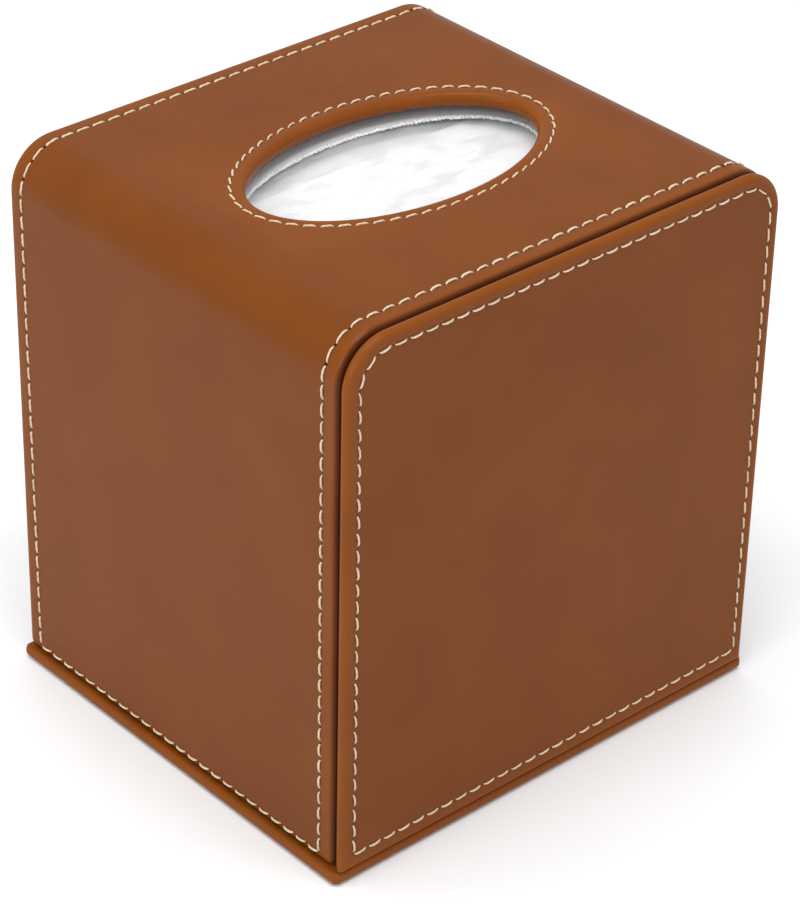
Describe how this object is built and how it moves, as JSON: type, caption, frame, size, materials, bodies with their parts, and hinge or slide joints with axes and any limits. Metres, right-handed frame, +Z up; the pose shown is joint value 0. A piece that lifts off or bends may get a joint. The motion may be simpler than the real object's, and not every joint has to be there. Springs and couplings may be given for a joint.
{
  "type": "tissue box with drawer",
  "caption": "Cube tissue box in stitched leather with an oval opening in the top and a front drawer that carries the tissue carton.",
  "frame": {"origin": "middle of the underside, where the box stands", "axes": "+X to the right seen from the front, -Y out of the drawer front, +Z up"},
  "size_m": [0.137, 0.123, 0.146],
  "materials": {
    "saddle_leather": "smooth semi-gloss saddle leather, rolled over every edge",
    "greyboard": "raw dense board",
    "beech": "planed quarter-round moulding",
    "suede_lining": "brushed microfibre",
    "felt": "pressed felt",
    "steel": "plain zinc-plated steel",
    "magnet": "nickel-plated magnet",
    "carton_board": "silvery white coated board",
    "clear_film": "thin crinkled clear film",
    "tissue": "soft white tissue"
  },
  "bodies": {
    "casing": {"casing_leather": "saddle_leather", "left_board": "greyboard", "right_board": "greyboard", "top_board": "greyboard", "left_corner_moulding": "beech", "right_corner_moulding": "beech", "casing_lining": "suede_lining", "back_leather": "saddle_leather", "back_board": "greyboard", "back_lining": "suede_lining", "catch_plates": "steel", "base_leather": "saddle_leather", "base_board": "greyboard", "base_felt": "felt"},
    "drawer": {"front_leather": "saddle_leather", "front_board": "greyboard", "front_lining": "suede_lining", "tray_bottom": "suede_lining", "tray_left_side": "suede_lining", "tray_right_side": "suede_lining", "tray_rear": "suede_lining", "tray_lining": "suede_lining", "tray_felt": "felt", "catch_magnets": "magnet", "carton": "carton_board", "carton_film": "clear_film", "tissues": "tissue"}
  },
  "joints": [
    {"name": "drawer_slide", "type": "slide", "parent": "casing", "child": "drawer", "axis": [0, -1, 0], "range_m": [0, 0.1115]}
  ]
}
